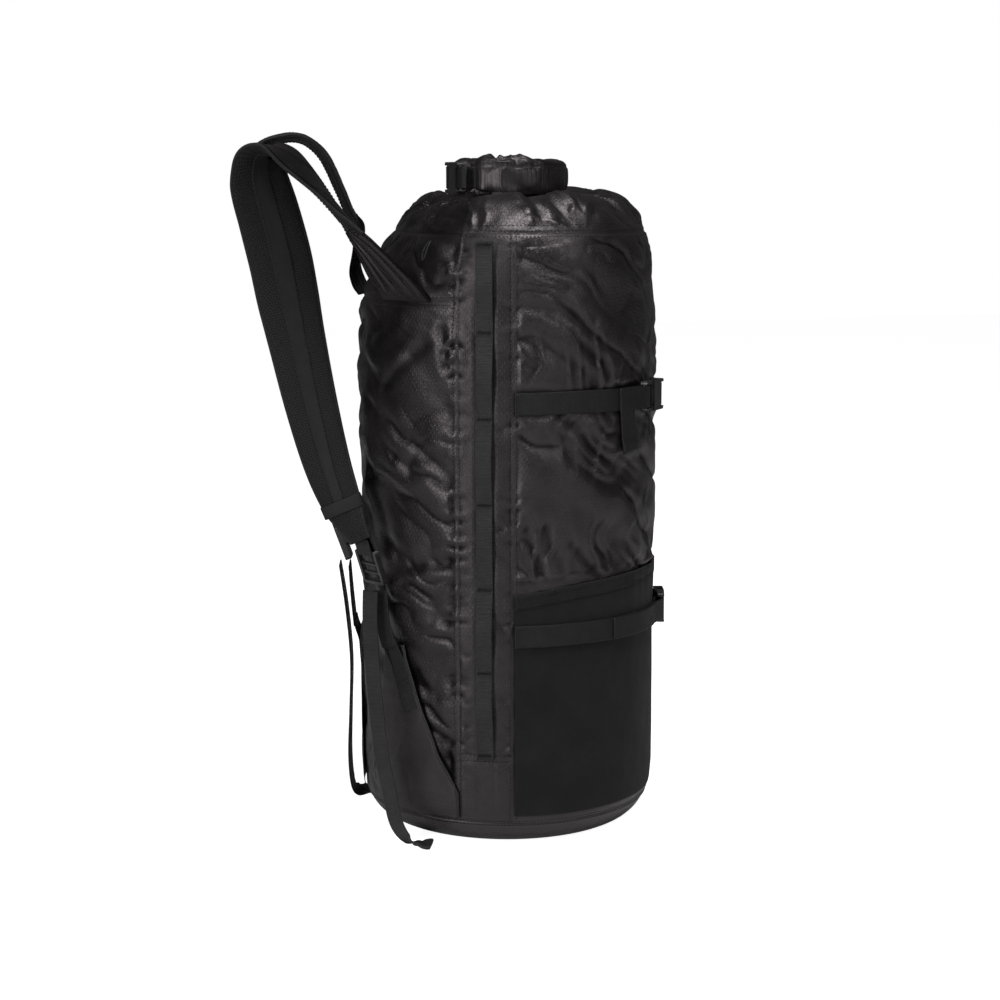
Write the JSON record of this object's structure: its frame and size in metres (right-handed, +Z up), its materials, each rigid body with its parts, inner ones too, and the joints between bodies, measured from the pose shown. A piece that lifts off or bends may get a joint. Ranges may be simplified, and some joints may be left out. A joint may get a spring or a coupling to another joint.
{
  "type": "roll-top compression sack with pack harness",
  "caption": "Stuffed roll-top compression sack with shoulder harness, stretch front pocket, side daisy chains and buckled compression straps, standing upright.",
  "frame": {"origin": "centre of the base disc, on the ground", "axes": "+Z up along the sack; +Y out of the back panel, toward the wearer; -X is the wearer's left"},
  "size_m": [0.2816, 0.4178, 0.6412],
  "materials": {
    "ripstop": "coated ripstop nylon, soft sheen",
    "strap_cover": "coated ripstop nylon, soft sheen",
    "foam": "closed-cell foam, matte",
    "spacer_mesh": "knitted spacer mesh, matte",
    "binding": "woven binding tape, matte",
    "webbing": "woven nylon webbing, matte",
    "thread": "bonded sewing thread",
    "stretch": "four-way stretch knit, matte",
    "stiffener": "plastic stiffener strip",
    "moulded": "moulded acetal, satin gloss"
  },
  "bodies": {
    "sack": {"front_panel": "ripstop", "back_panel": "ripstop", "back_yoke": "ripstop", "top_panel": "ripstop", "side_strip_left": "ripstop", "side_strip_right": "ripstop", "foot_patches": "ripstop", "bottom_panel": "ripstop", "bottom_seam_tape": "binding", "neck": "ripstop", "daisy_chain_left": "webbing", "daisy_chain_right": "webbing", "daisy_bartacks": "thread", "pocket": "stretch", "pocket_hem": "stretch", "upper_strap_near": "webbing", "upper_strap_far": "webbing", "upper_buckle_female": "moulded", "lower_strap_near": "webbing", "lower_strap_far": "webbing", "lower_buckle_female": "moulded", "strap_anchors": "strap_cover", "strap_wings": "ripstop", "wing_webbing": "webbing", "hose_port": "binding", "side_loop_tabs": "webbing"},
    "harness_left": {"strap_cover_left": "strap_cover", "strap_foam_left": "foam", "strap_mesh_left": "spacer_mesh", "strap_binding_left": "binding", "harness_webbing_left": "webbing"},
    "harness_right": {"strap_cover_right": "strap_cover", "strap_foam_right": "foam", "strap_mesh_right": "spacer_mesh", "strap_binding_right": "binding", "harness_webbing_right": "webbing"},
    "lock_left": {"ladder_lock_left": "moulded"},
    "lock_right": {"ladder_lock_right": "moulded"},
    "harness_tail_left": {"harness_tail_left": "webbing"},
    "harness_tail_right": {"harness_tail_right": "webbing"},
    "roll_left": {"roll_left": "ripstop", "roll_stiffener_left": "stiffener", "roll_tab_left": "webbing", "roll_buckle_female": "moulded"},
    "roll_right": {"roll_right": "ripstop", "roll_stiffener_right": "stiffener", "roll_tab_right": "webbing", "roll_buckle_male": "moulded"},
    "roll_prong_top": {"roll_prong_top": "moulded"},
    "roll_prong_bottom": {"roll_prong_bottom": "moulded"},
    "upper_male": {"upper_buckle_male": "moulded"},
    "upper_prong_top": {"upper_prong_top": "moulded"},
    "upper_prong_bottom": {"upper_prong_bottom": "moulded"},
    "upper_tail": {"upper_strap_tail": "webbing"},
    "lower_male": {"lower_buckle_male": "moulded"},
    "lower_prong_top": {"lower_prong_top": "moulded"},
    "lower_prong_bottom": {"lower_prong_bottom": "moulded"},
    "lower_tail": {"lower_strap_tail": "webbing"},
    "side_loop_left": {"side_loop_left": "moulded"},
    "side_loop_right": {"side_loop_right": "moulded"}
  },
  "joints": [
    {"name": "harness_swing_left", "type": "hinge", "parent": "sack", "child": "harness_left", "pos_m": [-0.062, 0.131, 0.178], "axis": [0.0217, 0.0707, 0.9973], "range_deg": [0, 20], "stiffness_Nm_per_rad": 1},
    {"name": "harness_swing_right", "type": "hinge", "parent": "sack", "child": "harness_right", "pos_m": [0.062, 0.131, 0.178], "axis": [-0.0217, 0.0707, 0.9973], "range_deg": [-20, 0], "stiffness_Nm_per_rad": 1},
    {"name": "lock_tilt_left", "type": "hinge", "parent": "harness_left", "child": "lock_left", "pos_m": [-0.046, 0.151, 0.264], "axis": [0.9135, 0.4067, 0], "range_deg": [0, 45], "stiffness_Nm_per_rad": 0.02},
    {"name": "lock_tilt_right", "type": "hinge", "parent": "harness_right", "child": "lock_right", "pos_m": [0.045, 0.1528, 0.273], "axis": [0.9397, -0.342, 0], "range_deg": [0, 45], "stiffness_Nm_per_rad": 0.02},
    {"name": "harness_tail_swing_left", "type": "hinge", "parent": "harness_left", "child": "harness_tail_left", "pos_m": [-0.0485, 0.149, 0.229], "axis": [0.9135, 0.4067, 0], "range_deg": [0, 35], "stiffness_Nm_per_rad": 0.02},
    {"name": "harness_tail_swing_right", "type": "hinge", "parent": "harness_right", "child": "harness_tail_right", "pos_m": [0.0475, 0.1505, 0.238], "axis": [0.9397, -0.342, 0], "range_deg": [0, 35], "stiffness_Nm_per_rad": 0.02},
    {"name": "roll_open_left", "type": "hinge", "parent": "sack", "child": "roll_left", "pos_m": [0, -0.0565, 0.598], "axis": [0, 0, 1], "range_deg": [0, 25], "stiffness_Nm_per_rad": 0.05},
    {"name": "roll_open_right", "type": "hinge", "parent": "sack", "child": "roll_right", "pos_m": [0, -0.0565, 0.598], "axis": [0, 0, 1], "range_deg": [-25, 0], "stiffness_Nm_per_rad": 0.05},
    {"name": "roll_prong_top_pinch", "type": "hinge", "parent": "roll_right", "child": "roll_prong_top", "pos_m": [0.00475, 0.051, 0.6062], "axis": [0, 1, 0], "range_deg": [-5, 0], "stiffness_Nm_per_rad": 0.05},
    {"name": "roll_prong_bottom_pinch", "type": "hinge", "parent": "roll_right", "child": "roll_prong_bottom", "pos_m": [0.00475, 0.051, 0.5898], "axis": [0, 1, 0], "range_deg": [0, 5], "stiffness_Nm_per_rad": 0.05},
    {"name": "upper_buckle_release", "type": "slide", "parent": "sack", "child": "upper_male", "axis": [-0.7071, 0.7071, 0], "range_m": [0, 0.02], "stiffness_N_per_m": 5},
    {"name": "upper_prong_top_pinch", "type": "hinge", "parent": "upper_male", "child": "upper_prong_top", "pos_m": [-0.10246, -0.10034, 0.4112], "axis": [-0.7071, -0.7071, 0], "range_deg": [-5, 0], "stiffness_Nm_per_rad": 0.05},
    {"name": "upper_prong_bottom_pinch", "type": "hinge", "parent": "upper_male", "child": "upper_prong_bottom", "pos_m": [-0.10246, -0.10034, 0.3948], "axis": [-0.7071, -0.7071, 0], "range_deg": [0, 5], "stiffness_Nm_per_rad": 0.05},
    {"name": "lower_buckle_release", "type": "slide", "parent": "sack", "child": "lower_male", "axis": [-0.9455, 0.3256, 0], "range_m": [0, 0.02], "stiffness_N_per_m": 5},
    {"name": "lower_prong_top_pinch", "type": "hinge", "parent": "lower_male", "child": "lower_prong_top", "pos_m": [-0.04879, -0.13709, 0.2042], "axis": [-0.3256, -0.9455, 0], "range_deg": [-5, 0], "stiffness_Nm_per_rad": 0.05},
    {"name": "lower_prong_bottom_pinch", "type": "hinge", "parent": "lower_male", "child": "lower_prong_bottom", "pos_m": [-0.04879, -0.13709, 0.1878], "axis": [-0.3256, -0.9455, 0], "range_deg": [0, 5], "stiffness_Nm_per_rad": 0.05},
    {"name": "upper_tail_lift", "type": "hinge", "parent": "upper_male", "child": "upper_tail", "pos_m": [-0.10741, -0.09539, 0.403], "axis": [0, 0, 1], "range_deg": [0, 40], "stiffness_Nm_per_rad": 0.01},
    {"name": "lower_tail_lift", "type": "hinge", "parent": "lower_male", "child": "lower_tail", "pos_m": [-0.05541, -0.13481, 0.196], "axis": [0, 0, 1], "range_deg": [0, 40], "stiffness_Nm_per_rad": 0.01},
    {"name": "side_loop_tilt_left", "type": "hinge", "parent": "sack", "child": "side_loop_left", "pos_m": [-0.07696, 0.03109, 0.5775], "axis": [-0.3746, -0.9272, 0], "range_deg": [0, 60], "stiffness_Nm_per_rad": 0.003},
    {"name": "side_loop_tilt_right", "type": "hinge", "parent": "sack", "child": "side_loop_right", "pos_m": [0.07696, 0.03109, 0.5775], "axis": [-0.3746, 0.9272, 0], "range_deg": [0, 60], "stiffness_Nm_per_rad": 0.003}
  ],
  "couplings": [
    {"joint": "roll_open_right", "follows": "roll_open_left", "ratio": -1},
    {"joint": "roll_prong_bottom_pinch", "follows": "roll_prong_top_pinch", "ratio": -1},
    {"joint": "upper_prong_bottom_pinch", "follows": "upper_prong_top_pinch", "ratio": -1},
    {"joint": "lower_prong_bottom_pinch", "follows": "lower_prong_top_pinch", "ratio": -1}
  ]
}
